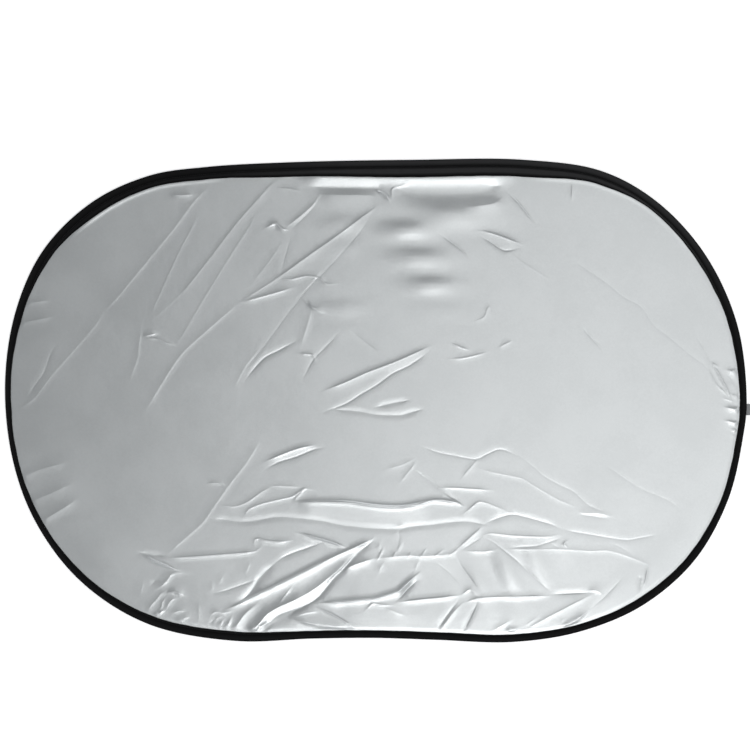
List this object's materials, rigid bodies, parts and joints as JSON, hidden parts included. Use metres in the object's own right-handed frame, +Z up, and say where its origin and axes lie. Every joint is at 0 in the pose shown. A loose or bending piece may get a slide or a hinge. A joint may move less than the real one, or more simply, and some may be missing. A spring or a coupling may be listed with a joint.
{
  "type": "car sunshade",
  "caption": "Oval windscreen sunshade: silver coated cloth held open by a sprung wire hoop, edged with folded black tape, with a grey elastic keeper loop.",
  "frame": {"origin": "middle of the whole footprint, elastic loop included, on the surface that the shade lies on", "axes": "+X along the shade's length towards the elastic loop, +Y towards the edge with the wide tape, +Z up out of the silver face"},
  "size_m": [1.345, 0.8482, 0.0092],
  "materials": {
    "silver_cloth": "aluminised polyester taffeta, softly shiny and creased",
    "black_tape": "matte woven black binding tape with a stitched seam",
    "spring_steel": "drawn spring steel wire",
    "ferrule_metal": "satin crimped sleeve",
    "grey_elastic": "matte ribbed woven elastic"
  },
  "bodies": {
    "root": {"shade_panel": "silver_cloth", "edge_binding": "black_tape", "spring_wire": "spring_steel", "wire_ferrule": "ferrule_metal", "keeper_band": "grey_elastic"}
  },
  "joints": []
}
